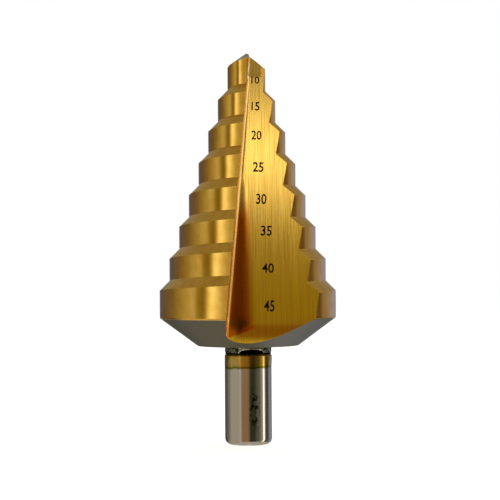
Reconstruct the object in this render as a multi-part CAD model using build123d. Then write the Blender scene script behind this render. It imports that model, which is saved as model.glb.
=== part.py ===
from build123d import *
from math import cos, radians, sin, tan
import os

# Two-flute step drill, ground from one bar.
# Millimetres and degrees. The axis is Z, the point is up, and the origin is the centre of the shank's end.
# Azimuths are measured from +X, anticlockwise seen from the point. That is also the way the drill cuts.

# Shank
shank_diameter = 12.0
shank_height = 22.8
shank_end_chamfer = 1.5
shank_shoulder_chamfer = 0.3

# Chuck flats, each ending in the arc that its cutter leaves
flat_count = 3
flat_distance_from_axis = 5.55
first_flat_azimuth = -129.0
flat_length = 19.2
flat_cutter_radius = 10.0
flat_cutter_exit_angle = 30.0

# Grinding groove, neck and rear cone
groove_diameter = 11.0
groove_width = 0.5
neck_diameter = 11.8
neck_length = 1.7
rear_face_diameter = 25.6
rear_face_corner_radius = 0.4
rear_cone_height = 6.9
rear_edge_inset = 0.4

# Steps, named from the rear: the widest land is the longest
step_count = 8
smallest_diameter = 10.0
diameter_rise = 5.0
step_pitch = 8.0
step_chamfer_angle = 45.0
widest_land_length = 8.3

# Point
point_angle = 135.0
point_land_length = 6.3

# Relief: how far a land falls back along the axis and towards it over a quarter turn behind its edge
axial_relief = 1.27
radial_relief = 0.2
flank_relief = 2.0

# Flutes: a rake wall that leans with height, and a floor that rises towards the rear and then runs out
rake_wall_lean = 5.06
rake_wall_axis_height = 90.4
floor_depth_top = -0.8
floor_depth_middle = 8.8
floor_depth_rear = 15.0
floor_height_middle = 63.2
floor_height_rear = 33.0
floor_depth_runout = 12.6
floor_root_radius = 1.4

# Gash that thins the web beside the point, from this far below the tip
gash_length = 6.1
gash_depth = 1.4
gash_lean = 24.0
gash_width = 3.7

# How the ground body is put together: two halves that meet inside the flutes, round a thin core
edge_azimuth = -90.0
seam_lead = 20.0
sections_per_half = 7
section_inner_radius = 0.3
core_radius = 0.4
quarter_turn = 90.0
half_turn = 180.0
full_turn = 360.0
cutter_margin = 2.0

# Sizes that follow from the ones above
shank_radius = shank_diameter / 2
neck_bottom = shank_height + groove_width
rear_face_height = neck_bottom + neck_length
rear_edge_height = rear_face_height + rear_cone_height
widest_diameter = smallest_diameter + (step_count - 1) * diameter_rise
chamfer_width = diameter_rise / 2
chamfer_height = chamfer_width / tan(radians(step_chamfer_angle))
widest_land_top = rear_edge_height + widest_land_length
narrowest_land_bottom = widest_land_top + chamfer_height + (step_count - 2) * step_pitch
point_corner_height = narrowest_land_bottom + point_land_length
point_slope = 1 / tan(radians(point_angle / 2))
point_height = point_corner_height + smallest_diameter / 2 * point_slope
gash_height = point_height - gash_length
cutter_top = point_height + cutter_margin
cutter_bottom = rear_face_height - cutter_margin
cutter_reach = widest_diameter


def axial_plane(azimuth):
    """Plane that holds the axis, with X pointing out at an azimuth and Y pointing up."""
    angle = radians(azimuth)
    return Plane(origin=(0, 0, 0), x_dir=(cos(angle), sin(angle), 0), z_dir=(sin(angle), -cos(angle), 0))


def land_section(behind_edge):
    """Half section of the steps and point, at an angle behind the cutting edge."""
    quarter_turns = behind_edge / quarter_turn
    radius = widest_diameter / 2 - radial_relief * quarter_turns
    land_top = widest_land_top - axial_relief * quarter_turns
    outline = [(section_inner_radius, rear_edge_height), (radius, rear_edge_height)]
    for step in range(step_count - 1):
        outline.append((radius, land_top))
        radius -= chamfer_width
        outline.append((radius, land_top + chamfer_height))
        land_top += step_pitch
    corner_height = point_corner_height - flank_relief * quarter_turns
    flank_slope = (point_height - corner_height) / radius
    outline.append((radius, corner_height))
    outline.append((section_inner_radius, point_height - section_inner_radius * flank_slope))
    return axial_plane(edge_azimuth - behind_edge) * make_face(Polyline(*outline, close=True))


def relieved_half():
    """Half of the stepped body, whose section falls away behind the cutting edge."""
    spacing = half_turn / (sections_per_half - 1)
    return loft([land_section(index * spacing - seam_lead) for index in range(sections_per_half)])


def core():
    """Thin bar on the axis that closes the two halves, with the tip of the point on it."""
    outline = Polyline(
        (0, rear_edge_height),
        (core_radius, rear_edge_height),
        (core_radius, point_height - core_radius * point_slope),
        (0, point_height),
        close=True,
    )
    return revolve(Plane.XZ * make_face(outline), Axis.Z)


def turned_rear():
    """Rear cone, neck and shank, turned round the axis."""
    outline = Polyline(
        (0, 0),
        (shank_radius - shank_end_chamfer, 0),
        (shank_radius, shank_end_chamfer),
        (shank_radius, shank_height - shank_shoulder_chamfer),
        (shank_radius - shank_shoulder_chamfer, shank_height),
        (groove_diameter / 2, shank_height),
        (groove_diameter / 2, neck_bottom),
        (neck_diameter / 2, neck_bottom),
        (neck_diameter / 2, rear_face_height),
        (rear_face_diameter / 2, rear_face_height),
        (widest_diameter / 2 - rear_edge_inset, rear_edge_height),
        (0, rear_edge_height),
        close=True,
    )
    profile = make_face(outline)
    corner = profile.vertices().sort_by_distance((rear_face_diameter / 2, rear_face_height))[0]
    profile = fillet(corner, rear_face_corner_radius)
    return revolve(Plane.XZ * profile, Axis.Z)


def rake_wall_offset(height):
    """Distance from the axis to the rake wall, positive on the flute's side."""
    return (height - rake_wall_axis_height) * tan(radians(rake_wall_lean))


def ahead_of_rake_wall():
    """All that lies in front of the axis and on the flute's side of the rake wall."""
    outline = Polyline(
        (rake_wall_offset(cutter_bottom), cutter_bottom),
        (cutter_reach, cutter_bottom),
        (cutter_reach, cutter_top),
        (rake_wall_offset(cutter_top), cutter_top),
        close=True,
    )
    return extrude(Plane.XZ * make_face(outline), cutter_reach, both=True)


def outside_floor():
    """All that lies outside the flute's floor, which is drawn as depth in front of the axis against height."""
    top = (floor_depth_top, cutter_top)
    rear = (floor_depth_rear, floor_height_rear)
    floor = ThreePointArc(top, (floor_depth_middle, floor_height_middle), rear)
    runout_end = (floor_depth_runout, cutter_bottom)
    runout = TangentArc(rear, runout_end, tangent=floor % 1)
    rest = Polyline(runout_end, (cutter_reach, cutter_bottom), (cutter_reach, cutter_top), top)
    return extrude(axial_plane(edge_azimuth) * make_face(floor + runout + rest), cutter_reach, both=True)


def flute_cutter():
    """What one flute removes, with the root between wall and floor rounded."""
    cutter = ahead_of_rake_wall() & outside_floor()

    def is_root(edge):
        middle = edge.center()
        inside = cutter_bottom < middle.Z < cutter_top and -middle.Y < cutter_reach / 2 + cutter_margin
        return inside and abs(middle.X - rake_wall_offset(middle.Z)) < floor_root_radius

    return fillet(cutter.edges().filter_by(is_root), floor_root_radius)


def gash_cutter():
    """What thins the web beside the point."""
    rise = cutter_top - gash_height
    outline = Polyline(
        (gash_depth, gash_height),
        (gash_depth - rise * tan(radians(gash_lean)), cutter_top),
        (cutter_reach, cutter_top),
        (cutter_reach, gash_height),
        close=True,
    )
    gash = extrude(axial_plane(edge_azimuth) * make_face(outline), gash_width, both=True)
    return gash & ahead_of_rake_wall()


def flat_cutter():
    """What one chuck flat removes, at azimuth zero."""
    arc_centre = (flat_distance_from_axis + flat_cutter_radius, flat_length)
    runout = CenterArc(arc_centre, flat_cutter_radius, half_turn, -flat_cutter_exit_angle)
    foot = (flat_distance_from_axis, -cutter_margin)
    outline = runout + Polyline(
        runout @ 1,
        (shank_diameter, (runout @ 1).Y),
        (shank_diameter, -cutter_margin),
        foot,
        (flat_distance_from_axis, flat_length),
    )
    return extrude(Plane.XZ * make_face(outline), shank_radius, both=True)


def with_opposite(form):
    """A form and its copy half a turn round the axis."""
    return form + form.rotate(Axis.Z, half_turn)


def step_drill():
    """The whole drill."""
    drill = with_opposite(relieved_half()) + core() + turned_rear()
    drill -= with_opposite(flute_cutter())
    drill -= with_opposite(gash_cutter())
    for flat in range(flat_count):
        azimuth = first_flat_azimuth + flat * full_turn / flat_count
        drill -= flat_cutter().rotate(Axis.Z, azimuth)
    return drill


os.makedirs("parts", exist_ok=True)
export_step(step_drill(), "parts/step_drill.step")
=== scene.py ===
"""Step drill, ground from one bar of high-speed steel and coated with titanium nitride.

The body is a blank of revolution whose lands fall away behind their cutting edges. Grinding wheels then take
out two flutes, the gashes beside the point and three chuck flats. Sizes are in millimetres until a mesh is made,
and the frame is in metres.
"""

import logging
import math
from dataclasses import dataclass, field
from enum import Enum

import bpy
from bpy.types import Material, Mesh, Node, NodeSocket, NodeTree, Object
from mathutils import Euler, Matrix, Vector

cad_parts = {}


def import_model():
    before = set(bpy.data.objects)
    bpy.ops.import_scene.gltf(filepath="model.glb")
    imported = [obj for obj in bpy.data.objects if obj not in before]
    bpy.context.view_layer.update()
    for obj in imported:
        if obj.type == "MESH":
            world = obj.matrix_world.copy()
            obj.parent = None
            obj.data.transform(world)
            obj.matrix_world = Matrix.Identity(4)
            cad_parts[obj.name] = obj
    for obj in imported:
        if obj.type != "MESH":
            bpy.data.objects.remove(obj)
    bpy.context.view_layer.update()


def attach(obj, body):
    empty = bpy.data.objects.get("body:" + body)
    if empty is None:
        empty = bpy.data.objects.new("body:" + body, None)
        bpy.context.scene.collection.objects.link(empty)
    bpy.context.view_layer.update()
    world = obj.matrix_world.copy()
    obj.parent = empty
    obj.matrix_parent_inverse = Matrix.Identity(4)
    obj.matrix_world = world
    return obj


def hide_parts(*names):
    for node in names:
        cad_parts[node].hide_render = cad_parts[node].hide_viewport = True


LOG = logging.getLogger("step_drill")
MM = 0.001
WHITE = (1.0, 1.0, 1.0, 1.0)
QUARTER_TURN = 90.0
HALF_TURN = 180.0
FULL_TURN = 360.0
NODE = "step_drill"
BODY = "root"
ZONE_ATTRIBUTE = "zone"

Point2 = tuple[float, float]
Point3 = tuple[float, float, float]
Span = tuple[float, float]
Room = tuple[tuple[float, float, float, float], ...]

# What a node's input can be linked to: an output, or a node for its first output
Source = NodeSocket | Node


class Zone(Enum):
    """The differently finished faces of the drill, numbered as in the mesh's zone attribute."""

    LAND = 0
    CHAMFER = 1
    FLANK = 2
    REAR = 3
    SHANK = 4
    FLUTE = 5
    GASH = 6
    FLAT = 7
    NECK = 8


# ------------------------------------------------------------------------------------------------------------
# Small tools


def linear(hex_colour: str) -> tuple[float, float, float, float]:
    """Turn an sRGB colour into the linear values that shaders take.

    Args:
        hex_colour: six hex digits after a hash.

    Returns:
        Red, green, blue and an alpha of one.
    """
    channels = [int(hex_colour[start:start + 2], 16) / 255 for start in (1, 3, 5)]
    red, green, blue = [c / 12.92 if c <= 0.04045 else ((c + 0.055) / 1.055) ** 2.4 for c in channels]
    return red, green, blue, 1.0


def clamped(share: float) -> float:
    """Keep a share between zero and one."""
    return min(max(share, 0.0), 1.0)


def eased(share: float) -> float:
    """Keep a share between zero and one, and slow it down towards both."""
    share = clamped(share)
    return share * share * (3 - 2 * share)


def add_node(tree: NodeTree, kind: str, settings: dict[str, object] | None = None,
             inputs: dict[str | int, object] | tuple = ()) -> Node:
    """Add a node to a tree.

    Args:
        tree: the shader or geometry tree.
        kind: the node's type name.
        settings: the node's own properties.
        inputs: the inputs in their order, or by name or number. Each is a value, a source to link to the input,
            or a list of sources.

    Returns:
        The new node.
    """
    node = tree.nodes.new(kind)
    for name, value in (settings or {}).items():
        setattr(node, name, value)
    for key, value in inputs.items() if isinstance(inputs, dict) else enumerate(inputs):
        sources = value if isinstance(value, list) else [value]
        for source in sources:
            if isinstance(source, Node):
                source = source.outputs[0]
            if isinstance(source, NodeSocket):
                tree.links.new(source, node.inputs[key])
            else:
                node.inputs[key].default_value = source
    return node


def layered(tree: NodeTree, base: str | Source, *layers: tuple[Source, str | Source]) -> Source:
    """Lay colours over each other. A colour is hex digits or a source.

    Args:
        tree: the shader tree.
        base: the lowest colour.
        layers: for each colour over it, a mask from zero to one and the colour.

    Returns:
        The colour that shows.
    """
    for mask, colour in layers:
        under, over = [linear(each) if isinstance(each, str) else each for each in (base, colour)]
        # A Mix node's colours are its sockets 6 and 7, and its blended colour is its output 2
        base = add_node(tree, "ShaderNodeMix", {"data_type": "RGBA"}, {0: mask, 6: under, 7: over}).outputs[2]
    return base


def past(tree: NodeTree, *limits: tuple[Source, Span]) -> Source:
    """Mask of where every value is past its span.

    Args:
        tree: the shader tree.
        limits: each value, with its span from where the mask is nothing to where it is whole.

    Returns:
        A value from zero to one, eased at both ends of each span.
    """
    mask: Source | float = 1.0
    for value, span in limits:
        fade = add_node(tree, "ShaderNodeMapRange", {"interpolation_type": "SMOOTHSTEP"}, (value, *span))
        mask = add_node(tree, "ShaderNodeMath", {"operation": "MULTIPLY"}, (mask, fade))
    return mask


def open_material(name: str) -> tuple[Material, NodeTree]:
    """Make a material with an empty tree.

    Args:
        name: the real material and how its surface was made.

    Returns:
        The material and its tree.
    """
    material = bpy.data.materials.new(name)
    material.use_nodes = True
    material.node_tree.nodes.clear()
    return material, material.node_tree


def finished_mesh(source: Object) -> Mesh:
    """Make a plain mesh of an object as its modifiers or its typeface leave it."""
    bpy.context.view_layer.update()
    return bpy.data.meshes.new_from_object(source.evaluated_get(bpy.context.evaluated_depsgraph_get()))


def mesh_object(name: str, points: list[Point3], faces: list[tuple[int, ...]],
                zones: list[Zone]) -> Object:
    """Make a mesh object from points in millimetres.

    Args:
        name: the object's name.
        points: the vertices.
        faces: vertex numbers of each face, anticlockwise from outside.
        zones: the finish of each face.

    Returns:
        The object, linked to the scene.
    """
    mesh = bpy.data.meshes.new(name)
    mesh.from_pydata([[value * MM for value in point] for point in points], [], faces)
    mesh.attributes.new(ZONE_ATTRIBUTE, "INT", "FACE").data.foreach_set("value", [zone.value for zone in zones])
    mesh.polygons.foreach_set("use_smooth", [True] * len(faces))
    mesh.update()
    made = bpy.data.objects.new(name, mesh)
    bpy.context.scene.collection.objects.link(made)
    return made


def prism(name: str, sections: list[list[Point3]], zone: Zone) -> Object:
    """Join closed sections of equal length into a closed solid.

    Args:
        name: the object's name.
        sections: the sections from the bottom up, each anticlockwise seen from above.
        zone: the finish that the solid leaves where it cuts.

    Returns:
        The closed mesh object.
    """
    count = len(sections[0])
    points = [point for section in sections for point in section]
    faces: list[tuple[int, ...]] = [tuple(reversed(range(count)))]
    for level in range(len(sections) - 1):
        low = level * count
        for side in range(count):
            after = (side + 1) % count
            faces.append((low + side, low + after, low + count + after, low + count + side))
    faces.append(tuple(range(len(points) - count, len(points))))
    return mesh_object(name, points, faces, [zone] * len(faces))


def circle_through(first: Point2, second: Point2, third: Point2) -> tuple[Point2, float]:
    """Find the circle through three points.

    Args:
        first: a point on the circle.
        second: another.
        third: another.

    Returns:
        The centre and the radius.
    """
    ax, ay = first
    bx, by = second[0] - ax, second[1] - ay
    cx, cy = third[0] - ax, third[1] - ay
    scale = 2 * (bx * cy - by * cx)
    ux = (cy * (bx * bx + by * by) - by * (cx * cx + cy * cy)) / scale
    uy = (bx * (cx * cx + cy * cy) - cx * (bx * bx + by * by)) / scale
    return (ax + ux, ay + uy), math.hypot(ux, uy)


# ------------------------------------------------------------------------------------------------------------
# The body


@dataclass
class Row:
    """One ring of the blank: its place at the cutting edge, and what it loses over a quarter turn behind it."""

    radius: float
    height: float
    zone_above: Zone
    fall: float = 0.0
    shrink: float = 0.0

    def at(self, behind_edge: float) -> Point2:
        """Radius and height at an angle behind the cutting edge."""
        quarters = behind_edge / QUARTER_TURN
        return self.radius - self.shrink * quarters, self.height - self.fall * quarters


@dataclass
class Blank:
    """The turned and relieved bar, before the flutes and flats are ground.

    Relief is how far a land or the point's flank falls back along the axis, or towards it, over a quarter turn
    behind its cutting edge. Beside each rounding an extra ring, held a little way off, keeps what is beyond it
    shaded flat. The two halves meet inside the flutes, a seam's lead ahead of the cutting edges.
    """

    shank_radius: float = 6.0
    shank_height: float = 22.8
    end_chamfer: float = 1.5
    end_width: float = 1.8
    hold: float = 0.15
    shoulder_chamfer: float = 0.3
    groove_radius: float = 5.8
    groove_width: float = 0.5
    neck_radius: float = 5.9
    neck_length: float = 1.7
    rear_face_radius: float = 12.8
    rear_face_rounding: float = 0.4
    rear_cone_height: float = 6.9
    rear_edge_inset: float = 0.4
    lip: float = 0.3
    step_count: int = 8
    smallest_radius: float = 5.0
    radius_rise: float = 2.5
    step_pitch: float = 8.0
    widest_land_length: float = 8.3
    point_land_length: float = 6.3
    point_angle: float = 135.0
    axial_relief: float = 1.27
    radial_relief: float = 0.2
    flank_relief: float = 2.0
    edge_azimuth: float = -90.0
    seam_lead: float = 20.0
    column_spacing: float = 1.0
    rounding_rows: int = 5

    def __post_init__(self) -> None:
        """Work out the heights that follow from the lengths."""
        self.neck_bottom = self.shank_height + self.groove_width
        self.rear_face_height = self.neck_bottom + self.neck_length
        self.rear_edge_height = self.rear_face_height + self.rear_cone_height
        self.widest_radius = self.smallest_radius + (self.step_count - 1) * self.radius_rise
        self.widest_land_top = self.rear_edge_height + self.widest_land_length
        last_bottom = self.widest_land_top + self.radius_rise + (self.step_count - 2) * self.step_pitch
        self.corner_height = last_bottom + self.point_land_length
        point_slope = 1 / math.tan(math.radians(self.point_angle / 2))
        self.tip_height = self.corner_height + self.smallest_radius * point_slope

    def shank_rows(self) -> list[Row]:
        """Rows of the shank, groove and neck.

        Returns:
            The rows from the bottom up.
        """
        shank, top, shoulder = self.shank_radius, self.shank_height, self.shoulder_chamfer
        return [
            *self.end_rows(),
            Row(shank, top - shoulder, Zone.SHANK),
            Row(shank - shoulder, top, Zone.NECK),
            Row(self.groove_radius, top, Zone.NECK),
            Row(self.groove_radius, self.neck_bottom, Zone.NECK),
            Row(self.neck_radius, self.neck_bottom, Zone.NECK),
            Row(self.neck_radius, self.rear_face_height, Zone.REAR),
        ]

    def end_rows(self) -> list[Row]:
        """Rows of the shank's rounded end.

        Returns:
            The rows from the bottom up.
        """
        rows = []
        for number in range(self.rounding_rows + 1):
            angle = math.radians(QUARTER_TURN) * number / self.rounding_rows
            radius = self.shank_radius - self.end_width * (1 - math.sin(angle))
            rows.append(Row(radius, self.end_chamfer * (1 - math.cos(angle)), Zone.SHANK))
        rows.append(Row(self.shank_radius, self.end_chamfer + self.hold, Zone.SHANK))
        return rows

    def rear_rows(self) -> list[Row]:
        """Rows of the rear face's rounded corner and of the cone.

        Returns:
            The rows from the bottom up.
        """
        rise = self.widest_radius - self.rear_edge_inset - self.rear_face_radius
        cone_angle = math.atan2(self.rear_cone_height, rise)
        rounding = self.rear_face_rounding
        back = rounding * math.tan(cone_angle / 2)
        rows = []
        for number in range(self.rounding_rows):
            angle = cone_angle * number / (self.rounding_rows - 1)
            radius = self.rear_face_radius - back + rounding * math.sin(angle)
            rows.append(Row(radius, self.rear_face_height + rounding * (1 - math.cos(angle)), Zone.REAR))
        rows.insert(0, Row(rows[0].radius - self.hold, self.rear_face_height, Zone.REAR))
        last = rows[-1]
        rows.append(Row(last.radius + self.hold, last.height + self.hold * math.tan(cone_angle), Zone.REAR))
        rows.append(Row(self.widest_radius - self.rear_edge_inset, self.rear_edge_height, Zone.REAR))
        return rows

    def step_rows(self) -> list[Row]:
        """Rows of the steps, whose lands fall back and shrink behind the cutting edge.

        Returns:
            The rows from the bottom up.
        """
        radius, land_top = self.widest_radius, self.widest_land_top
        rows = []
        for number in range(self.rounding_rows):
            angle = math.radians(QUARTER_TURN) * number / (self.rounding_rows - 1)
            inset, rise = self.lip * (1 - math.sin(angle)), self.lip * (1 - math.cos(angle))
            rows.append(Row(radius - inset, self.rear_edge_height + rise, Zone.LAND, 0.0, self.radial_relief))
        top = self.rear_edge_height + self.lip + self.hold
        rows.append(Row(radius, top, Zone.LAND, 0.0, self.radial_relief))
        for _ in range(self.step_count - 1):
            rows.append(Row(radius, land_top, Zone.CHAMFER, self.axial_relief, self.radial_relief))
            radius -= self.radius_rise
            height = land_top + self.radius_rise
            rows.append(Row(radius, height, Zone.LAND, self.axial_relief, self.radial_relief))
            land_top += self.step_pitch
        rows.append(Row(radius, self.corner_height, Zone.FLANK, self.flank_relief, self.radial_relief))
        return rows

    def build(self) -> Object:
        """Make the blank as one closed mesh.

        Returns:
            The blank's object.
        """
        rows = self.shank_rows() + self.rear_rows() + self.step_rows()
        steps_in_half = round(HALF_TURN / self.column_spacing)
        columns = []
        for half in range(2):
            for number in range(steps_in_half + 1):
                columns.append((half, number * self.column_spacing - self.seam_lead))
        points: list[Point3] = [(0.0, 0.0, 0.0)]
        for row in rows:
            for half, behind_edge in columns:
                radius, height = row.at(behind_edge)
                azimuth = math.radians(self.edge_azimuth + half * HALF_TURN - behind_edge)
                points.append((radius * math.cos(azimuth), radius * math.sin(azimuth), height))
        points.append((0.0, 0.0, self.tip_height))
        count, tip = len(columns), len(points) - 1
        faces: list[tuple[int, ...]] = []
        zones: list[Zone] = []
        for column in range(count):
            after = (column + 1) % count
            faces.append((0, 1 + column, 1 + after))
            zones.append(Zone.SHANK)
            for level, row in enumerate(rows[:-1]):
                low = 1 + level * count
                faces.append((low + after, low + column, low + count + column, low + count + after))
                zones.append(row.zone_above)
            last = 1 + (len(rows) - 1) * count
            faces.append((last + after, last + column, tip))
            zones.append(rows[-1].zone_above)
        return mesh_object("blank", points, faces, zones)


@dataclass
class FluteWheel:
    """What a flute's grinding wheel takes out: a wall ahead of the cutting edge, a rounded root and a floor.

    The wall leans with height. The floor is drawn as depth in front of the axis against height: an arc through
    three points, then one that runs out. It sweeps up to the root over a width that grows towards the rear and
    closes again at the run-out.
    """

    blank: Blank
    wall_lean: float = 5.06
    wall_axis_height: float = 90.4
    floor_top: Point2 = (-0.8, 101.07)
    floor_middle: Point2 = (8.8, 63.2)
    floor_rear: Point2 = (15.0, 33.0)
    floor_runout: Point2 = (12.6, 23.0)
    root_radius: float = 1.4
    root_radius_point: float = 0.8
    wall_slant_rear: float = 0.02
    wall_slant_point: float = 0.05
    sweep_width: float = 6.4
    sweep_top: float = 68.0
    sweep_full: float = 35.0
    sweep_growth: float = 0.6
    sweep_angle: float = 27.0
    sweep_power: float = 1.3
    sweep_points: int = 14
    closing_start: float = 33.0
    closing_end: float = 26.5
    closing_share: float = 0.3
    reach: float = 30.0
    level_spacing: float = 0.5
    root_points: int = 11

    def __post_init__(self) -> None:
        """Find the circles of the floor and of its run-out."""
        circle = circle_through(self.floor_top, self.floor_middle, self.floor_rear)
        self.floor_centre, self.floor_radius = circle
        rear, end = Vector(self.floor_rear), Vector(self.floor_runout)
        normal = (Vector(self.floor_centre) - rear).normalized()
        step = end - rear
        self.runout_radius = step.length_squared / (2 * normal.dot(step))
        self.runout_centre = rear + normal * self.runout_radius

    def wall(self, height: float) -> float:
        """Offset of the wall from the axis at a height."""
        return (height - self.wall_axis_height) * math.tan(math.radians(self.wall_lean))

    def depth(self, height: float) -> float:
        """Distance of the floor in front of the axis.

        Args:
            height: the height along the drill.

        Returns:
            The distance, which is negative behind the axis.
        """
        if height >= self.floor_rear[1]:
            across = self.floor_radius ** 2 - (height - self.floor_centre[1]) ** 2
            return self.floor_centre[0] + math.sqrt(across)
        across = self.runout_radius ** 2 - (height - self.runout_centre[1]) ** 2
        return self.runout_centre[0] + math.sqrt(across)

    def sweep(self, height: float) -> float:
        """Width over which the floor sweeps up to the root.

        Args:
            height: the height along the drill.

        Returns:
            The width.
        """
        share = clamped((self.sweep_top - height) / (self.sweep_top - self.sweep_full))
        width = self.sweep_width * share ** self.sweep_growth
        left = eased((height - self.closing_end) / (self.closing_start - self.closing_end))
        return width * (self.closing_share + (1 - self.closing_share) * left)

    def section(self, height: float) -> list[Point3]:
        """Outline of what the wheel takes out at one height, anticlockwise seen from above.

        Args:
            height: the height along the drill.

        Returns:
            The wall's far end, the floor from its outer end to the root, and the root up to the wall.
        """
        blank = self.blank
        along = (height - blank.widest_land_top) / (blank.corner_height - blank.widest_land_top)
        edge = -(blank.widest_radius + (blank.smallest_radius - blank.widest_radius) * along)
        root = self.root_radius + (self.root_radius_point - self.root_radius) * clamped(along)
        slant = self.wall_slant_rear + (self.wall_slant_point - self.wall_slant_rear) * clamped(along)
        floor, width = -self.depth(height), self.sweep(height)
        steepest = math.tan(math.radians(self.sweep_angle)) * min(width / root, 1.0)
        raised = floor - width * steepest / (self.sweep_power + 1)
        tilt, wall_turn = math.atan(steepest), math.atan(slant)
        wall = self.wall(height) + slant * (raised - edge)
        centre_y = raised - root * math.cos(tilt)
        centre_x = wall + slant * (centre_y - raised) + root * math.hypot(1.0, slant)
        corner = centre_x - root * math.sin(tilt)
        outline = [
            (wall - slant * (self.reach + raised), -self.reach, height),
            (self.reach, -self.reach, height),
            (self.reach, floor, height),
        ]
        for number in range(self.sweep_points):
            share = number / self.sweep_points
            rise = width * steepest * share ** (self.sweep_power + 1) / (self.sweep_power + 1)
            outline.append((corner + width * (1 - share), floor - rise, height))
        sweep = math.radians(QUARTER_TURN) - wall_turn - tilt
        for number in range(self.root_points):
            angle = math.radians(QUARTER_TURN) + tilt + sweep * number / (self.root_points - 1)
            outline.append((centre_x + root * math.cos(angle), centre_y + root * math.sin(angle), height))
        return outline

    def surface(self, x: float, height: float) -> float:
        """Distance of the ground surface in front of the axis.

        Args:
            x: the place across the flute.
            height: the height along the drill.

        Returns:
            The distance.
        """
        outline = self.section(height)[2:]
        for (right, near, _), (left, far, _) in zip(outline, outline[1:]):
            if left <= x <= right and left < right:
                return -(near + (far - near) * (right - x) / (right - left))
        return -outline[-1][1]

    def build(self) -> Object:
        """Make the wheel's path.

        Returns:
            The closed mesh object.
        """
        bottom, top = self.floor_runout[1], self.floor_top[1]
        levels = round((top - bottom) / self.level_spacing)
        heights = [bottom + (top - bottom) * level / levels for level in range(levels + 1)]
        return prism("flute_wheel", [self.section(height) for height in heights], Zone.FLUTE)


@dataclass
class GashWheel:
    """What thins the web beside the point: a flat that eases in from the flute's floor to a rounded corner."""

    flute: FluteWheel
    length: float = 6.1
    depth: float = 1.4
    lean: float = 24.0
    width: float = 3.7
    easing: float = 1.4
    easing_levels: int = 6
    corner: float = 0.7
    corner_points: int = 7
    clearance: float = 0.03

    def section(self, height: float) -> list[Point3]:
        """Outline of what the wheel takes out at one height, anticlockwise seen from above.

        Args:
            height: the height along the drill.

        Returns:
            The wall's far end, the outer side, the floor and the rounded corner.
        """
        above = height - self.flute.blank.tip_height + self.length
        ground = above * math.tan(math.radians(self.lean)) - self.depth
        start = -self.flute.depth(height) - self.clearance
        floor = start + (ground - start) * eased(above / self.easing + 0.5)
        wall, front = self.flute.wall(height), -self.flute.reach
        outline = [(wall, front, height), (self.width, front, height), (self.width, floor, height)]
        for number in range(self.corner_points):
            angle = math.radians(QUARTER_TURN) * (1 + number / (self.corner_points - 1))
            across, along = math.cos(angle) + 1, math.sin(angle) - 1
            outline.append((wall + self.corner * across, floor + self.corner * along, height))
        return outline

    def build(self) -> Object:
        """Make the wheel's path.

        Returns:
            The closed mesh object.
        """
        start = self.flute.blank.tip_height - self.length - self.easing / 2
        heights = [start + self.easing * level / self.easing_levels for level in range(self.easing_levels + 1)]
        heights.append(self.flute.floor_top[1])
        return prism("gash_wheel", [self.section(height) for height in heights], Zone.GASH)


@dataclass
class FlatWheel:
    """What one chuck flat takes off the shank, drawn at azimuth zero."""

    distance: float = 5.6
    length: float = 19.2
    wheel_radius: float = 10.0
    exit_angle: float = 30.0
    azimuth: float = -132.0
    reach: float = 8.0
    overrun: float = 1.0
    exit_levels: int = 12

    def build(self) -> Object:
        """Make the wheel's path, turned to its azimuth.

        Returns:
            The closed mesh object.
        """
        levels = [(self.distance, -self.overrun)]
        for number in range(self.exit_levels + 1):
            angle = math.radians(self.exit_angle * number / self.exit_levels)
            out = self.wheel_radius * (1 - math.cos(angle))
            levels.append((self.distance + out, self.length + self.wheel_radius * math.sin(angle)))
        turn = Euler((0, 0, math.radians(self.azimuth))).to_matrix()
        outside = self.reach + self.overrun
        sections = []
        for near, height in levels:
            corners = ((near, -self.reach), (outside, -self.reach), (outside, self.reach), (near, self.reach))
            sections.append([tuple(turn @ Vector((x, y, height))) for x, y in corners])
        return prism("flat_wheel", sections, Zone.FLAT)


def around_axis(tree: NodeTree, shape: Source, count: Source) -> Source:
    """Repeat a shape evenly round the drill's axis.

    Args:
        tree: the geometry tree.
        shape: the geometry to repeat.
        count: how many there are in a full turn.

    Returns:
        The repeated geometry.
    """
    points = add_node(tree, "GeometryNodePoints", inputs={"Count": count})
    index = add_node(tree, "GeometryNodeInputIndex")
    share = add_node(tree, "ShaderNodeMath", {"operation": "DIVIDE"}, (index, count))
    angle = add_node(tree, "ShaderNodeMath", {"operation": "MULTIPLY"}, (share, math.tau))
    turn = add_node(tree, "ShaderNodeCombineXYZ", inputs={"Z": angle})
    copies = add_node(tree, "GeometryNodeInstanceOnPoints",
                      inputs={"Points": points, "Instance": shape, "Rotation": turn})
    return add_node(tree, "GeometryNodeRealizeInstances", inputs=(copies,))


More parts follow.
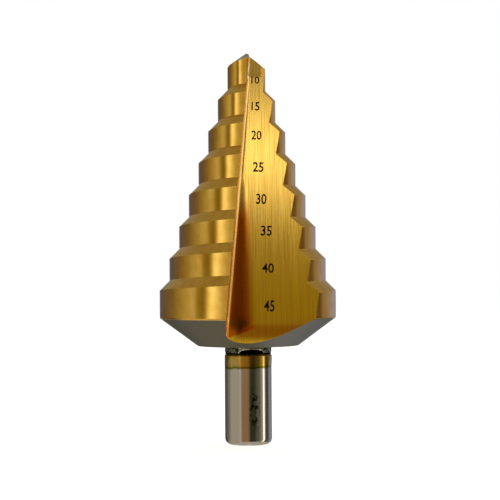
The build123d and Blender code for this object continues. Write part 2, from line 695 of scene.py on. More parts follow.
def grinding_tree(finishes: dict[Zone, Material], sharp_angle: float) -> NodeTree:
    """Make the tree that grinds a blank: each wheel's path, repeated round the axis, is taken off it.

    Args:
        finishes: the material of each zone.
        sharp_angle: degrees between faces above which an edge stays sharp.

    Returns:
        The geometry tree.
    """
    tree = bpy.data.node_groups.new("grind_from_bar", "GeometryNodeTree")
    interface = tree.interface
    interface.new_socket("Blank", in_out="INPUT", socket_type="NodeSocketGeometry")
    for name in ("Flute wheel", "Gash wheel", "Flat wheel"):
        interface.new_socket(name, in_out="INPUT", socket_type="NodeSocketObject")
    for name in ("Flutes", "Flats"):
        interface.new_socket(name, in_out="INPUT", socket_type="NodeSocketInt")
    interface.new_socket("Ground", in_out="OUTPUT", socket_type="NodeSocketGeometry")
    source = add_node(tree, "NodeGroupInput").outputs
    cuts = []
    for wheel, count in (("Flute wheel", "Flutes"), ("Gash wheel", "Flutes"), ("Flat wheel", "Flats")):
        path = add_node(tree, "GeometryNodeObjectInfo", inputs={"Object": source[wheel]})
        cuts.append(around_axis(tree, path.outputs["Geometry"], source[count]))
    ground = add_node(tree, "GeometryNodeMeshBoolean", {"operation": "DIFFERENCE", "solver": "EXACT"},
                      {"Mesh 1": source["Blank"], "Mesh 2": cuts})
    angle = add_node(tree, "GeometryNodeInputMeshEdgeAngle")
    blunt = add_node(tree, "FunctionNodeCompare", {"data_type": "FLOAT", "operation": "LESS_THAN"},
                     (angle, math.radians(sharp_angle)))
    smooth = add_node(tree, "GeometryNodeSetShadeSmooth", {"domain": "EDGE"},
                      {"Geometry": ground, "Shade Smooth": blunt})
    shape = add_node(tree, "GeometryNodeRealizeInstances", inputs=(smooth,))
    slot = add_node(tree, "GeometryNodeInputNamedAttribute", {"data_type": "INT"}, {"Name": ZONE_ATTRIBUTE})
    for zone, material in finishes.items():
        # A Compare node's whole numbers are its sockets 2 and 3
        chosen = add_node(tree, "FunctionNodeCompare", {"data_type": "INT", "operation": "EQUAL"},
                          {2: slot, 3: zone.value})
        shape = add_node(tree, "GeometryNodeSetMaterial", inputs=(shape, chosen, material))
    add_node(tree, "NodeGroupOutput", inputs=(shape,))
    return tree


def apply_tree(target: Object, tree: NodeTree, values: dict[str, object]) -> None:
    """Run a geometry tree on an object and keep the result as a plain mesh, with no modifier left.

    Args:
        target: the object that the tree reads and whose mesh it replaces.
        tree: the geometry tree.
        values: the tree's inputs by name.
    """
    modifier = target.modifiers.new(tree.name, "NODES")
    modifier.node_group = tree
    for item in tree.interface.items_tree:
        if item.in_out == "INPUT" and item.name in values:
            modifier[item.identifier] = values[item.name]
    mesh = finished_mesh(target)
    target.modifiers.remove(modifier)
    target.data = mesh


@dataclass
class Drill:
    """The body of the drill, ground from its blank."""

    blank: Blank = field(default_factory=Blank)
    flutes: int = 2
    flats: int = 3
    sharp_angle: float = 25.0

    def __post_init__(self) -> None:
        """Set the flute's wheel against the blank."""
        self.flute = FluteWheel(self.blank)

    def build(self, finishes: dict[Zone, Material]) -> Object:
        """Grind the drill and give each zone its finish.

        Args:
            finishes: the material of each zone.

        Returns:
            The finished piece, riding on its body.
        """
        wheels = {"Flute wheel": self.flute.build(), "Gash wheel": GashWheel(self.flute).build(),
                  "Flat wheel": FlatWheel().build()}
        piece = self.blank.build()
        piece.name = "ground_drill"
        tree = grinding_tree(finishes, self.sharp_angle)
        apply_tree(piece, tree, {**wheels, "Flutes": self.flutes, "Flats": self.flats})
        for wheel in wheels.values():
            bpy.data.objects.remove(wheel)
        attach(piece, BODY)
        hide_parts(NODE)
        return piece


# ------------------------------------------------------------------------------------------------------------
# Finishes


@dataclass(frozen=True)
class Finish:
    """What every finish of ground steel shares: its colours, its polish, its relief in millimetres, and how
    strongly and which way its grinding marks run.

    A grain is the number of features in a millimetre along each axis. A span runs from the value where a mask
    is nothing to the value where it is whole.
    """

    name: str
    colour: str
    shade: str
    smoothest: float
    roughest: float
    relief: float
    marks: float
    marks_turn: float = 0.0
    edge_round: float = 0.12
    edge_samples: int = 6

    def start(self) -> tuple[Material, NodeTree, Source]:
        """Open a material.

        Returns:
            The material, its tree and the object coordinates in millimetres.
        """
        material, tree = open_material(self.name)
        place = add_node(tree, "ShaderNodeTexCoord").outputs["Object"]
        scaled = add_node(tree, "ShaderNodeVectorMath", {"operation": "SCALE"}, {0: place, "Scale": 1 / MM})
        return material, tree, scaled

    def grain(self, tree: NodeTree, place: Source, per_mm: Point3, detail: float,
              span: Span = (0.3, 0.7)) -> Source:
        """Noise stretched along the grinding marks.

        Args:
            tree: the material's tree.
            place: coordinates in millimetres.
            per_mm: how many features there are in a millimetre along each axis.
            detail: octaves of finer noise.
            span: the noise's values that become zero and one.

        Returns:
            A value from zero to one.
        """
        stretched = add_node(tree, "ShaderNodeVectorMath", {"operation": "MULTIPLY"}, (place, per_mm))
        noise = add_node(tree, "ShaderNodeTexNoise",
                         inputs={"Vector": stretched, "Scale": 1.0, "Detail": detail})
        return add_node(tree, "ShaderNodeMapRange", inputs=(noise.outputs["Fac"], *span))

    def close(self, tree: NodeTree, colour: Source, texture: Source) -> None:
        """Finish a material with its metal shader, softened edges and fine relief.

        Args:
            tree: the material's tree.
            colour: its colour.
            texture: the surface's texture from zero to one, which raises it and makes it rougher.
        """
        rough = add_node(tree, "ShaderNodeMapRange",
                         inputs={"Value": texture, "To Min": self.smoothest, "To Max": self.roughest})
        edges = add_node(tree, "ShaderNodeBevel", {"samples": self.edge_samples}, (self.edge_round * MM,))
        relief = add_node(tree, "ShaderNodeBump", inputs={"Height": texture, "Distance": self.relief * MM,
                                                          "Strength": 1.0, "Normal": edges})
        along = add_node(tree, "ShaderNodeTangent", {"direction_type": "RADIAL", "axis": "Z"})
        metal = add_node(tree, "ShaderNodeBsdfPrincipled",
                         inputs={"Base Color": colour, "Metallic": 1.0, "Roughness": rough,
                                 "Anisotropic": self.marks, "Anisotropic Rotation": self.marks_turn,
                                 "Normal": relief, "Tangent": along})
        add_node(tree, "ShaderNodeOutputMaterial", inputs={"Surface": metal})


@dataclass(frozen=True)
class GroundLand(Finish):
    """Titanium nitride, 2 to 4 microns thick, on cylindrically ground steel: satin gold that keeps reflections
    sharp, a little deeper and duller in patches."""

    name: str = "titanium_nitride_on_ground_lands"
    colour: str = "#f0c054"
    shade: str = "#e2ae42"
    smoothest: float = 0.07
    roughest: float = 0.13
    relief: float = 0.00015
    marks: float = 0.0
    marks_turn: float = 0.25
    # Patches are 2 to 3 mm across. Grinding marks of a few microns are too fine to show, so they are drawn as a
    # speckle of 0.2 mm.
    patch_grain: Point3 = (0.5, 0.5, 0.35)
    speckle_grain: Point3 = (5.0, 5.0, 3.0)

    def build(self) -> Material:
        """Make the material.

        Returns:
            The finish's material.
        """
        material, tree, place = self.start()
        patches = self.grain(tree, place, self.patch_grain, detail=2.0)
        colour = layered(tree, self.colour, (patches, self.shade))
        self.close(tree, colour, self.grain(tree, place, self.speckle_grain, detail=4.0))
        return material


@dataclass(frozen=True)
class GroundFlute(Finish):
    """Titanium nitride on a flute ground lengthwise: marks along the drill smear reflections sideways, and the
    coating deepens from pale gold near the point to olive gold at the rear. Beside the root a painted shade
    darkens it to bronze, deeper towards the rear, and a painted highlight lightens the root itself.

    The painted shade band starts at mid height, widens to the rear and ends in a slanting line at the run-out.
    Its outer edge is a share of its width.
    """

    name: str = "titanium_nitride_in_flutes"
    colour: str = "#f5ca66"
    shade: str = "#dcae26"
    line: str = "#c6942a"
    # Painted shade beside the root, and a darker painted shade at its rear end
    painted_root_shade: str = "#c16705"
    painted_deeper_shade: str = "#b85e08"
    # Painted highlight along the root
    painted_root_highlight: str = "#ffeec8"
    smoothest: float = 0.21
    roughest: float = 0.25
    relief: float = 0.0002
    marks: float = 0.6
    deepening: Span = (34.0, 66.0)
    # A wheel's grit leaves marks a few hundredths of a millimetre apart, too fine to show, so they are drawn
    # 0.12 to 0.17 mm apart. They run the flute's length, so the grain along Y is low too: the floor slopes.
    line_grain: Point3 = (8.0, 0.3, 0.06)
    line_span: Span = (0.25, 0.6)
    streak_grain: Point3 = (6.0, 0.3, 0.06)
    root_lean: float = FluteWheel.wall_lean
    root_zero: float = FluteWheel.wall_axis_height
    root_gap: Span = (0.55, 0.9)
    band_start: Span = (63.0, 55.0)
    band_width: float = 2.4
    band_width_height: float = 58.0
    band_growth: float = 0.075
    band_edge: Span = (1.8, 0.9)
    band_end: Span = (26.9, 27.8)
    band_end_slope: float = 0.35
    painted_deeper_shade_start: Span = (36.0, 30.0)
    highlight_edge: Span = (0.65, 0.35)
    wall_edge: Span = (0.99, 0.95)

    def build(self) -> Material:
        """Make the material.

        Returns:
            The finish's material.
        """
        material, tree, place = self.start()
        height = add_node(tree, "ShaderNodeSeparateXYZ", inputs=(place,)).outputs["Z"]
        base = layered(tree, self.shade, (past(tree, (height, self.deepening)), self.colour))
        between_lines = self.grain(tree, place, self.line_grain, detail=3.0, span=self.line_span)
        away = self.away_from_root(tree, place)
        # The band is painted shade beside the root, darker towards the rear
        band = self.painted_shade_band(tree, height, away)
        painted_deeper_shade = add_node(tree, "ShaderNodeMath", {"operation": "MULTIPLY"},
                         (band, past(tree, (height, self.painted_deeper_shade_start))))
        # The pale top layer on the root is a painted highlight
        colour = layered(tree, self.line, (between_lines, base), (band, self.painted_root_shade),
                         (painted_deeper_shade, self.painted_deeper_shade), (self.painted_highlight_mask(tree, away), self.painted_root_highlight))
        self.close(tree, colour, self.grain(tree, place, self.streak_grain, detail=3.0))
        return material

    def away_from_root(self, tree: NodeTree, place: Source) -> Source:
        """Distance across the flute from its leaning root, in millimetres.

        Args:
            tree: the material's tree.
            place: coordinates in millimetres. X changes its sign in the flute at the back.

        Returns:
            The distance.
        """
        parts = add_node(tree, "ShaderNodeSeparateXYZ", inputs=(place,)).outputs
        side = add_node(tree, "ShaderNodeMath", {"operation": "SIGN"}, (parts["Y"],))
        front = add_node(tree, "ShaderNodeMath", {"operation": "MULTIPLY"}, (side, -1.0))
        across = add_node(tree, "ShaderNodeMath", {"operation": "MULTIPLY"}, (parts["X"], front))
        above = add_node(tree, "ShaderNodeMath", {"operation": "SUBTRACT"}, (parts["Z"], self.root_zero))
        slope = math.tan(math.radians(self.root_lean))
        root = add_node(tree, "ShaderNodeMath", {"operation": "MULTIPLY"}, (above, slope))
        return add_node(tree, "ShaderNodeMath", {"operation": "SUBTRACT"}, (across, root))

    def painted_shade_band(self, tree: NodeTree, height: Source, away: Source) -> Source:
        """Mask of the painted shade band beside the root.

        Args:
            tree: the material's tree.
            height: the height along the drill, in millimetres.
            away: the distance from the root, in millimetres.

        Returns:
            One in the band and zero outside it.
        """
        below = add_node(tree, "ShaderNodeMath", {"operation": "SUBTRACT"}, (self.band_width_height, height))
        width = add_node(tree, "ShaderNodeMath", {"operation": "MULTIPLY_ADD"},
                         (below, self.band_growth, self.band_width))
        share = add_node(tree, "ShaderNodeMath", {"operation": "DIVIDE"}, (away, width))
        slanted = add_node(tree, "ShaderNodeMath", {"operation": "MULTIPLY_ADD"},
                           (away, -self.band_end_slope, height))
        return past(tree, (share, self.band_edge), (away, self.root_gap), (height, self.band_start),
                    (slanted, self.band_end))

    def painted_highlight_mask(self, tree: NodeTree, away: Source) -> Source:
        """Mask of the root's painted highlight, which leaves out the wall: that is what faces straight across
        the drill.

        Args:
            tree: the material's tree.
            away: the distance from the root, in millimetres.

        Returns:
            One on the root and zero elsewhere.
        """
        normal = add_node(tree, "ShaderNodeNewGeometry").outputs["Normal"]
        sideways = add_node(tree, "ShaderNodeSeparateXYZ", inputs=(normal,)).outputs["X"]
        limits = []
        for value, span in ((away, self.highlight_edge), (sideways, self.wall_edge)):
            size = add_node(tree, "ShaderNodeMath", {"operation": "ABSOLUTE"}, (value,))
            limits.append((size, span))
        return past(tree, *limits)


@dataclass(frozen=True)
class ThinRear(Finish):
    """Where the coating is too thin to turn gold, over turned steel: grey with an olive cast on one side."""

    name: str = "thin_coating_on_rear_cone"
    colour: str = "#6b6655"
    shade: str = "#7c7c78"
    smoothest: float = 0.37
    roughest: float = 0.47
    relief: float = 0.002
    marks: float = 0.3
    side: Span = (-4.0, 9.0)
    # Turning marks 0.1 mm apart are too fine to show, so they are drawn as a speckle of 0.5 mm
    speckle_grain: Point3 = (2.0, 2.0, 2.0)

    def build(self) -> Material:
        """Make the material.

        Returns:
            The finish's material.
        """
        material, tree, place = self.start()
        across = add_node(tree, "ShaderNodeSeparateXYZ", inputs=(place,)).outputs["X"]
        colour = layered(tree, self.colour, (past(tree, (across, self.side)), self.shade))
        self.close(tree, colour, self.grain(tree, place, self.speckle_grain, detail=4.0))
        return material


def within(tree: NodeTree, place: Source, centre: Point3, size: Point3,
           blur: float) -> Source:
    """Mask of an ellipsoid.

    Args:
        tree: the material's tree.
        place: coordinates in millimetres.
        centre: the ellipsoid's middle.
        size: its half lengths.
        blur: the outer share of it over which the mask fades.

    Returns:
        One inside, falling to zero at the skin.
    """
    away = add_node(tree, "ShaderNodeVectorMath", {"operation": "SUBTRACT"}, (place, centre))
    scaled = add_node(tree, "ShaderNodeVectorMath", {"operation": "DIVIDE"}, (away, size))
    length = add_node(tree, "ShaderNodeVectorMath", {"operation": "LENGTH"}, (scaled,))
    return add_node(tree, "ShaderNodeMapRange", inputs=(length.outputs["Value"], 1.0, 1.0 - blur))


@dataclass(frozen=True)
class BareSteel(Finish):
    """Bare high-speed steel, ground round: a mirror that is only a little blurred, with a gold haze where the
    coating ends, an olive line at the haze's end, and dark blotches down its front that are a painted dark
    reflection."""

    name: str = "ground_steel_shank"
    colour: str = "#bdb8ad"
    # Colour of the painted dark reflection down the shank's front
    shade: str = "#26241a"
    haze: str = "#ba963c"
    haze_line: str = "#6e6a12"
    smoothest: float = 0.06
    roughest: float = 0.13
    relief: float = 0.0003
    marks: float = 0.3
    marks_turn: float = 0.25
    haze_start: Span = (19.6, 20.1)
    haze_line_end: Span = (20.1, 20.7)
    haze_wander: Point3 = (0.35, 0.35, 0.2)
    # Painted dark reflection: blotches down the front of the shank
    blotch_centre: Point3 = (1.5, -5.8, 9.0)
    blotch_size: Point3 = (1.7, 1.7, 6.6)
    blotch_blur: float = 0.5
    blotch_grain: Point3 = (1.5, 1.5, 0.9)
    blotch_span: Span = (0.47, 0.6)
    blotch_share: float = 1.0
    # Grinding marks of a few microns are too fine to show, so they are drawn as a speckle of 0.25 mm
    speckle_grain: Point3 = (4.0, 4.0, 2.0)

    def build(self) -> Material:
        """Make the material.

        Returns:
            The finish's material.
        """
        material, tree, place = self.start()
        # Painted dark reflection down the shank's front
        dark_blotches = self.grain(tree, place, self.blotch_grain, detail=5.0, span=self.blotch_span)
        near = within(tree, place, self.blotch_centre, self.blotch_size, self.blotch_blur)
        blotched = add_node(tree, "ShaderNodeMath", {"operation": "MULTIPLY"}, (dark_blotches, near))
        painted_dark_reflection = add_node(tree, "ShaderNodeMath", {"operation": "MULTIPLY"}, (blotched, self.blotch_share))
        wander = self.grain(tree, place, self.haze_wander, detail=1.0, span=(0.0, 1.0))
        height = add_node(tree, "ShaderNodeSeparateXYZ", inputs=(place,)).outputs["Z"]
        level = add_node(tree, "ShaderNodeMath", {"operation": "ADD"}, (height, wander))
        gold = layered(tree, self.haze_line, (past(tree, (level, self.haze_line_end)), self.haze))
        hazed = past(tree, (level, self.haze_start))
        colour = layered(tree, self.colour, (painted_dark_reflection, self.shade), (hazed, gold))
        self.close(tree, colour, self.grain(tree, place, self.speckle_grain, detail=4.0))
        return material


@dataclass(frozen=True)
class SootedNeck(Finish):
    """The neck, where the coating's furnace left mottled grey-green on bare steel. A black patch inside a bright
    rim is painted on its front, a painted dark reflection ringed by a painted highlight, and the groove below it
    is painted black as its shadow."""

    name: str = "grey_green_neck"
    colour: str = "#94937a"
    shade: str = "#54573f"
    # Painted shadow in the groove
    groove_shadow: str = "#0b0a06"
    # A painted dark reflection and, round it, a painted highlight; nothing is cut there
    painted_lens_dark: str = "#060605"
    painted_lens_highlight: str = "#f4f6f2"
    smoothest: float = 0.0
    roughest: float = 1.0
    relief: float = 0.001
    marks: float = 0.3
    marks_turn: float = 0.25
    mottle_grain: Point3 = (0.9, 0.9, 1.2)
    mottle_span: Span = (0.42, 0.62)
    groove_shadow_top: float = 23.28
    painted_lens_centre: Point3 = (1.0, -5.9, 23.3)
    painted_lens_size: Point3 = (3.4, 3.0, 0.9)
    painted_lens_highlight_width: float = 0.3
    painted_lens_blur: float = 0.06

    def build(self) -> Material:
        """Make the material.

        Returns:
            The finish's material.
        """
        material, tree, place = self.start()
        mottle = self.grain(tree, place, self.mottle_grain, detail=5.0, span=self.mottle_span)
        # Painted highlight rim round a painted dark reflection
        wide, deep, high = self.painted_lens_size
        painted_lens_highlight_size = (wide + self.painted_lens_highlight_width, deep, high + self.painted_lens_highlight_width)
        painted_lens_highlight = within(tree, place, self.painted_lens_centre, painted_lens_highlight_size, self.painted_lens_blur)
        painted_lens_dark = within(tree, place, self.painted_lens_centre, self.painted_lens_size, self.painted_lens_blur)
        # Painted shadow: black below the groove's top
        height = add_node(tree, "ShaderNodeSeparateXYZ", inputs=(place,)).outputs["Z"]
        groove_shadowed = add_node(tree, "ShaderNodeMath", {"operation": "LESS_THAN"}, (height, self.groove_shadow_top))
        colour = layered(tree, self.colour, (mottle, self.shade), (painted_lens_highlight, self.painted_lens_highlight), (painted_lens_dark, self.painted_lens_dark),
                         (groove_shadowed, self.groove_shadow))
        self.close(tree, colour, mottle)
        return material


@dataclass(frozen=True)
class LaserMark:
    """Steel darkened by a marking laser: matt brown-black oxide, with the brown in fine specks."""

    name: str = "laser_darkened_oxide"
    colour: str = "#1c0d02"
    specks: str = "#2e1804"
    specks_per_mm: float = 3.0
    roughness: float = 0.45

    def build(self) -> Material:
        """Make the material.

        Returns:
            The finish's material.
        """
        material, tree = open_material(self.name)
        place = add_node(tree, "ShaderNodeTexCoord").outputs["Object"]
        noise = add_node(tree, "ShaderNodeTexNoise", inputs={"Vector": place, "Scale": self.specks_per_mm / MM})
        colour = layered(tree, self.colour, (noise.outputs["Fac"], self.specks))
        metal = add_node(tree, "ShaderNodeBsdfPrincipled",
                         inputs={"Base Color": colour, "Metallic": 1.0, "Roughness": self.roughness})
        add_node(tree, "ShaderNodeOutputMaterial", inputs={"Surface": metal})
        return material


# ------------------------------------------------------------------------------------------------------------
# Size numbers


@dataclass(frozen=True)
class SizeNumber:
    """One number: its digits, its middle across the flute and along the drill, how tall the digits are, and
    their width as a share of the typeface's own."""

    text: str
    across: float
    along: float
    tall: float
    narrowing: float


@dataclass
class SizeNumbers:
    """The diameter of each step in millimetres, marked in the flute beside its step."""

    flute: FluteWheel
    numbers: tuple[SizeNumber, ...] = (
        SizeNumber("10", 2.25, 92.0, 1.9, 0.98),
        SizeNumber("15", 2.25, 85.1, 2.25, 0.84),
        SizeNumber("20", 2.42, 77.6, 2.35, 0.8),
        SizeNumber("25", 2.8, 69.45, 2.5, 0.82),
        SizeNumber("30", 3.5, 61.4, 2.6, 0.76),
        SizeNumber("35", 4.65, 53.5, 2.5, 0.86),
        SizeNumber("40", 4.95, 44.35, 2.35, 0.9),
        SizeNumber("45", 5.2, 35.2, 2.75, 0.7),
    )
    boldness: float = 0.016
    outline_steps: int = 4
    turn: float = -2.0
    lift: float = 0.012

    def digits(self, number: SizeNumber) -> Mesh:
        """Flat digits of a number, centred on the origin.

        Args:
            number: the number.

        Returns:
            The flat mesh, in millimetres.
        """
        curve = bpy.data.curves.new("digits", "FONT")
        curve.body = number.text
        curve.align_x = "CENTER"
        curve.offset = self.boldness
        curve.resolution_u = self.outline_steps
        holder = bpy.data.objects.new("digits", curve)
        bpy.context.scene.collection.objects.link(holder)
        mesh = finished_mesh(holder)
        bpy.data.objects.remove(holder)
        points = [vertex.co for vertex in mesh.vertices]
        low, high = min(p.y for p in points), max(p.y for p in points)
        left, right = min(p.x for p in points), max(p.x for p in points)
        scale = number.tall / (high - low)
        for vertex in mesh.vertices:
            x = (vertex.co.x - (left + right) / 2) * scale * number.narrowing
            vertex.co = (x, (vertex.co.y - (low + high) / 2) * scale, 0.0)
        return mesh

    def build(self, finish: Material) -> Object:
        """Lay every number on the flute's floor.

        Args:
            finish: the marking's material.

        Returns:
            One piece with all the numbers, riding on the drill's body.
        """
        points: list[Point3] = []
        faces: list[tuple[int, ...]] = []
        turn = math.radians(self.turn)
        for number in self.numbers:
            mesh = self.digits(number)
            start = len(points)
            for vertex in mesh.vertices:
                x = number.across + vertex.co.x * math.cos(turn) - vertex.co.y * math.sin(turn)
                z = number.along + vertex.co.x * math.sin(turn) + vertex.co.y * math.cos(turn)
                points.append((x, -self.flute.surface(x, z) - self.lift, z))
            faces.extend(tuple(start + corner for corner in polygon.vertices) for polygon in mesh.polygons)
            bpy.data.meshes.remove(mesh)
        piece = mesh_object("size_numbers", points, faces, [Zone.FLUTE] * len(faces))
        piece.data.materials.append(finish)
        thicken = piece.modifiers.new("depth", "SOLIDIFY")
        thicken.thickness = self.lift * 2 * MM
        thicken.offset = -1.0
        solid = finished_mesh(piece)
        piece.modifiers.remove(thicken)
        piece.data = solid
        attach(piece, BODY)
        return piece


# ------------------------------------------------------------------------------------------------------------
# Studio


@dataclass(frozen=True)
class Softbox:
    """A soft lamp, placed and sized by angles in degrees as seen from the drill's middle. Azimuth zero is the
    camera's side, and it grows towards +X."""

    name: str
    azimuth: float
    elevation: float
    width: float
    height: float
    radiance: float
    distance: float = 1.2

    def build(self, centre: Vector) -> None:
        """Hang the lamp, facing the drill.

        Args:
            centre: the drill's middle.
        """
        azimuth, elevation = math.radians(self.azimuth), math.radians(self.elevation)
        level = math.cos(elevation)
        way = Vector((math.sin(azimuth) * level, -math.cos(azimuth) * level, math.sin(elevation)))
        light = bpy.data.lights.new(self.name, "AREA")
        light.shape = "RECTANGLE"
        light.size = 2 * self.distance * math.tan(math.radians(self.width / 2))
        light.size_y = 2 * self.distance * math.tan(math.radians(self.height / 2))
        light.energy = self.radiance * math.pi * light.size * light.size_y
        lamp = bpy.data.objects.new(self.name, light)
        lamp.location = centre + way * self.distance
        lamp.rotation_euler = way.to_track_quat("Z", "Y").to_euler()
        lamp.visible_camera = False
        bpy.context.scene.collection.objects.link(lamp)


@dataclass
class Studio:
    """Pale floor, plain background, soft lamps, the room that polished metal reflects, and the camera.

    The room is three rings of light, each given as rounded stops: an azimuth in degrees, counted as a softbox's
    is, and the light's red, green and blue there. The steps reflect the ring at their own level, the shank the
    one just below it, and the flutes' sloping floors the one above. Over and under them are a plain dome and a
    plain ground. Each span runs between the elevations, in degrees, where a layer takes over.
    """

    camera_distance: float = 290.0
    camera_height: float = 39.4
    camera_side: float = 0.57
    camera_roll: float = 0.38
    frame_shift: float = 0.077
    focal_pixels: float = 1142.5
    frame_pixels: float = 500.0
    sensor_width: float = 36.0
    nearest_seen: float = 10.0
    floor_half: float = 1500.0
    floor_colour: str = "#f4f4f4"
    floor_glow: float = 0.75
    centre_height: float = 50.0
    softboxes: tuple[Softbox, ...] = (
        Softbox("front_softbox", -18.0, 36.2, 66.0, 7.4, 1.82),
        Softbox("side_softbox", 40.0, 39.0, 44.0, 7.0, 1.1),
        Softbox("back_softbox", 180.0, 56.0, 36.0, 12.0, 2.4),
    )
    step_room: Room = (
        (-180, 0.25, 0.25, 0.25), (-152, 0.12, 0.11, 0.15), (-124, 0.17, 0.15, 0.17),
        (-112, 0.24, 0.2, 0.16), (-100, 0.34, 0.31, 0.22), (-86, 0.48, 0.46, 0.42), (-78, 0.58, 0.58, 0.62),
        (-72, 0.52, 0.5, 0.5), (-67, 0.33, 0.28, 0.15), (-61, 0.22, 0.19, 0.07), (-57, 0.26, 0.22, 0.08),
        (-54, 0.52, 0.48, 0.35), (-50, 1.15, 1.18, 1.4), (-46, 1.3, 1.36, 1.7), (-42, 1.1, 1.13, 1.4),
        (-37, 0.8, 0.79, 0.82), (-30, 0.54, 0.5, 0.42), (-22, 0.5, 0.45, 0.32), (-14, 0.52, 0.47, 0.4),
        (-4, 0.4, 0.34, 0.2), (22, 0.12, 0.06, 0.02), (56, 0.11, 0.06, 0.02), (64, 0.9, 0.84, 0.68),
        (88, 0.9, 0.84, 0.68), (94, 0.2, 0.16, 0.12), (107, 0.14, 0.1, 0.08), (114, 0.29, 0.26, 0.33),
        (130, 0.36, 0.36, 0.6), (146, 0.36, 0.4, 0.7), (160, 0.3, 0.32, 0.5), (168, 0.25, 0.25, 0.25),
    )
    shank_room: Room = (
        (-180, 0.25, 0.25, 0.25), (-150, 0.12, 0.11, 0.1), (-110, 0.14, 0.13, 0.11),
        (-100, 0.3, 0.27, 0.22), (-92, 0.56, 0.51, 0.42), (-68, 0.56, 0.5, 0.41), (-60, 0.66, 0.6, 0.5),
        (-44, 0.8, 0.7, 0.6), (-37, 0.6, 0.48, 0.38), (-31, 0.4, 0.24, 0.14), (-6, 0.41, 0.23, 0.11),
        (1, 0.36, 0.21, 0.1), (6, 0.12, 0.08, 0.04), (11, 0.05, 0.045, 0.03), (27, 0.045, 0.05, 0.03),
        (34, 0.08, 0.085, 0.05), (43, 0.15, 0.16, 0.11), (53, 0.18, 0.18, 0.13), (60, 0.27, 0.26, 0.2),
        (69, 0.42, 0.4, 0.32), (74, 0.7, 0.66, 0.58), (77, 2.4, 2.3, 2.1), (83, 2.4, 2.3, 2.1),
        (87, 0.6, 0.56, 0.5), (92, 0.12, 0.11, 0.1), (104, 0.09, 0.085, 0.08), (112, 0.12, 0.12, 0.12),
        (121, 0.26, 0.27, 0.3), (150, 0.3, 0.32, 0.38), (168, 0.25, 0.25, 0.25),
    )
    flute_room: Room = (
        (-180, 0.25, 0.25, 0.25), (-160, 0.3, 0.28, 0.22), (-20, 0.36, 0.33, 0.2), (4, 0.36, 0.33, 0.16),
        (12, 0.26, 0.2, 0.08), (22, 0.13, 0.08, 0.025), (56, 0.11, 0.06, 0.02), (63, 0.3, 0.22, 0.1),
        (68, 1.3, 1.2, 1.0), (118, 1.3, 1.2, 1.0), (126, 0.3, 0.28, 0.24), (160, 0.3, 0.28, 0.24),
    )
    # On the left the steps' ring leans: its azimuths shift by this share of the elevation
    lean: float = -0.5
    lean_span: Span = (-2.0, 12.0)
    shank_span: Span = (-2.7, -3.2)
    flute_span: Span = (12.0, 14.5)
    dome: str = "#999281"
    dome_span: Span = (28.0, 37.0)
    ground: str = "#d0ccbf"
    ground_span: Span = (-28.0, -42.0)
    backdrop_half: float = 10.0
    backdrop_top: float = 15.0

    def camera(self) -> None:
        """Place the camera level with the middle of the drill, and shift the frame up to take in its point."""
        camera = bpy.data.cameras.new("camera")
        camera.sensor_width = self.sensor_width
        camera.lens = self.sensor_width * self.focal_pixels / self.frame_pixels
        camera.clip_start = self.nearest_seen * MM
        camera.shift_y = self.frame_shift
        holder = bpy.data.objects.new("camera", camera)
        holder.location = Vector((self.camera_side, -self.camera_distance, self.camera_height)) * MM
        holder.rotation_euler = (math.radians(QUARTER_TURN), math.radians(self.camera_roll), 0.0)
        bpy.context.scene.collection.objects.link(holder)
        bpy.context.scene.camera = holder

    def floor(self) -> None:
        """Lay the pale floor that the drill stands on."""
        half = self.floor_half
        corners = [(-half, -half, 0.0), (half, -half, 0.0), (half, half, 0.0), (-half, half, 0.0)]
        floor = mesh_object("floor", corners, [(0, 1, 2, 3)], [Zone.LAND])
        material, tree = open_material("pale_paper_floor")
        path = add_node(tree, "ShaderNodeLightPath").outputs
        seen = add_node(tree, "ShaderNodeMath", {"operation": "MAXIMUM"},
                        (path["Is Camera Ray"], path["Is Transmission Ray"]))
        paper = add_node(tree, "ShaderNodeBsdfDiffuse", inputs={"Color": linear(self.floor_colour)})
        glow = add_node(tree, "ShaderNodeEmission", inputs={"Strength": self.floor_glow})
        both = add_node(tree, "ShaderNodeAddShader", inputs=(paper, glow))
        mix = add_node(tree, "ShaderNodeMixShader", inputs=(seen, paper, both))
        add_node(tree, "ShaderNodeOutputMaterial", inputs={"Surface": mix})
        floor.data.materials.append(material)
        floor.visible_glossy = False

    def ring(self, tree: NodeTree, azimuth: Source, room: Room) -> Source:
        """Light of one of the room's rings in a direction.

        Args:
            tree: the world's tree.
            azimuth: the direction, in radians from the camera's side.
            room: the ring's stops.

        Returns:
            The colour.
        """
        turn = add_node(tree, "ShaderNodeMapRange", inputs=(azimuth, -math.pi, math.pi))
        ramp = add_node(tree, "ShaderNodeValToRGB", inputs=(turn,))
        stops = ramp.color_ramp.elements
        while len(stops) > 1:
            stops.remove(stops[-1])
        for number, (angle, *light) in enumerate(room):
            share = angle / FULL_TURN + 0.5
            stop = stops[0] if number == 0 else stops.new(share)
            stop.position = share
            stop.color = (*light, 1.0)
        return ramp.outputs["Color"]

    def room(self, tree: NodeTree, azimuth: Source, rise: Source) -> Source:
        """Light of the room in a direction.

        Args:
            tree: the world's tree.
            azimuth: the direction round the drill, in radians from the camera's side.
            rise: the direction's elevation, in radians.

        Returns:
            The colour.
        """
        left = add_node(tree, "ShaderNodeMath", {"operation": "LESS_THAN"}, (azimuth, 0.0))
        low = add_node(tree, "ShaderNodeClamp", inputs=(rise, *map(math.radians, self.lean_span)))
        lean = add_node(tree, "ShaderNodeMath", {"operation": "MULTIPLY"}, (low, self.lean))
        leant = add_node(tree, "ShaderNodeMath", {"operation": "MULTIPLY_ADD"}, (lean, left, azimuth))
        layers = (
            (self.shank_span, self.ring(tree, azimuth, self.shank_room)),
            (self.flute_span, self.ring(tree, azimuth, self.flute_room)),
            (self.dome_span, self.dome),
            (self.ground_span, self.ground),
        )
        masked = [(past(tree, (rise, tuple(map(math.radians, span)))), light) for span, light in layers]
        return layered(tree, self.ring(tree, leant, self.step_room), *masked)

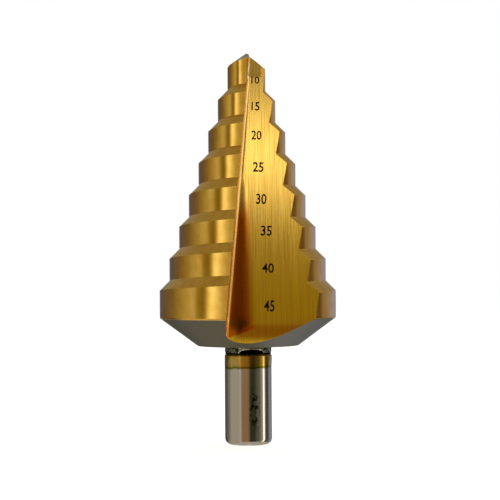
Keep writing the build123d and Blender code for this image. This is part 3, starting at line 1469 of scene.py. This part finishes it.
    def shows_backdrop(self, tree: NodeTree, azimuth: Source, rise: Source) -> Source:
        """Tell which rays see the white background: the camera's, those through glass, and those that metal
        sends towards the backdrop behind the drill.

        Args:
            tree: the world's tree.
            azimuth: the direction round the drill, in radians from the camera's side.
            rise: the direction's elevation, in radians.

        Returns:
            One for the background and zero for the room.
        """
        path = add_node(tree, "ShaderNodeLightPath").outputs
        spread = add_node(tree, "ShaderNodeMath", {"operation": "ABSOLUTE"}, (azimuth,))
        behind = add_node(tree, "ShaderNodeMath", {"operation": "GREATER_THAN"},
                          (spread, math.radians(HALF_TURN - self.backdrop_half)))
        below = add_node(tree, "ShaderNodeMath", {"operation": "LESS_THAN"},
                         (rise, math.radians(self.backdrop_top)))
        backdrop = add_node(tree, "ShaderNodeMath", {"operation": "MULTIPLY"}, (behind, below))
        mirrored = add_node(tree, "ShaderNodeMath", {"operation": "MULTIPLY"},
                            (backdrop, path["Is Glossy Ray"]))
        seen = add_node(tree, "ShaderNodeMath", {"operation": "MAXIMUM"},
                        (path["Is Camera Ray"], path["Is Transmission Ray"]))
        return add_node(tree, "ShaderNodeMath", {"operation": "MAXIMUM"}, (seen, mirrored))

    def world(self) -> None:
        """Put a plain white background round the drill, and the room that its metal reflects."""
        world = bpy.data.worlds.new("studio")
        world.use_nodes = True
        tree = world.node_tree
        tree.nodes.clear()
        way = add_node(tree, "ShaderNodeTexCoord").outputs["Generated"]
        parts = add_node(tree, "ShaderNodeSeparateXYZ", inputs=(way,)).outputs
        toward = add_node(tree, "ShaderNodeMath", {"operation": "MULTIPLY"}, (parts["Y"], -1.0))
        azimuth = add_node(tree, "ShaderNodeMath", {"operation": "ARCTAN2"}, (parts["X"], toward))
        rise = add_node(tree, "ShaderNodeMath", {"operation": "ARCSINE"}, (parts["Z"],))
        direction = (azimuth, rise)
        light = add_node(tree, "ShaderNodeBackground", inputs=(self.room(tree, *direction), 1.0))
        white = add_node(tree, "ShaderNodeBackground", inputs=(WHITE, 1.0))
        mix = add_node(tree, "ShaderNodeMixShader",
                       inputs=(self.shows_backdrop(tree, *direction), light, white))
        add_node(tree, "ShaderNodeOutputWorld", inputs={"Surface": mix})
        bpy.context.scene.world = world

    def build(self) -> None:
        """Set up the whole studio."""
        self.camera()
        self.floor()
        self.world()
        centre = Vector((0.0, 0.0, self.centre_height)) * MM
        for softbox in self.softboxes:
            softbox.build(centre)
        bpy.context.scene.view_settings.view_transform = "Standard"


def main() -> None:
    """Build the studio, the drill and its numbers."""
    logging.basicConfig(level=logging.INFO)
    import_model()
    Studio().build()
    land, flute = GroundLand().build(), GroundFlute().build()
    finishes = {
        Zone.LAND: land,
        Zone.CHAMFER: land,
        Zone.FLANK: land,
        Zone.REAR: ThinRear().build(),
        Zone.SHANK: BareSteel().build(),
        Zone.NECK: SootedNeck().build(),
        Zone.FLUTE: flute,
        Zone.GASH: flute,
        Zone.FLAT: BareSteel(name="ground_steel_flats", haze="#b8a05a", blotch_share=0.0).build(),
    }
    drill = Drill()
    numbers = SizeNumbers(drill.flute)
    for piece in (drill.build(finishes), numbers.build(LaserMark().build())):
        LOG.info("%s has %d faces", piece.name, len(piece.data.polygons))


if __name__ == "__main__":
    main()
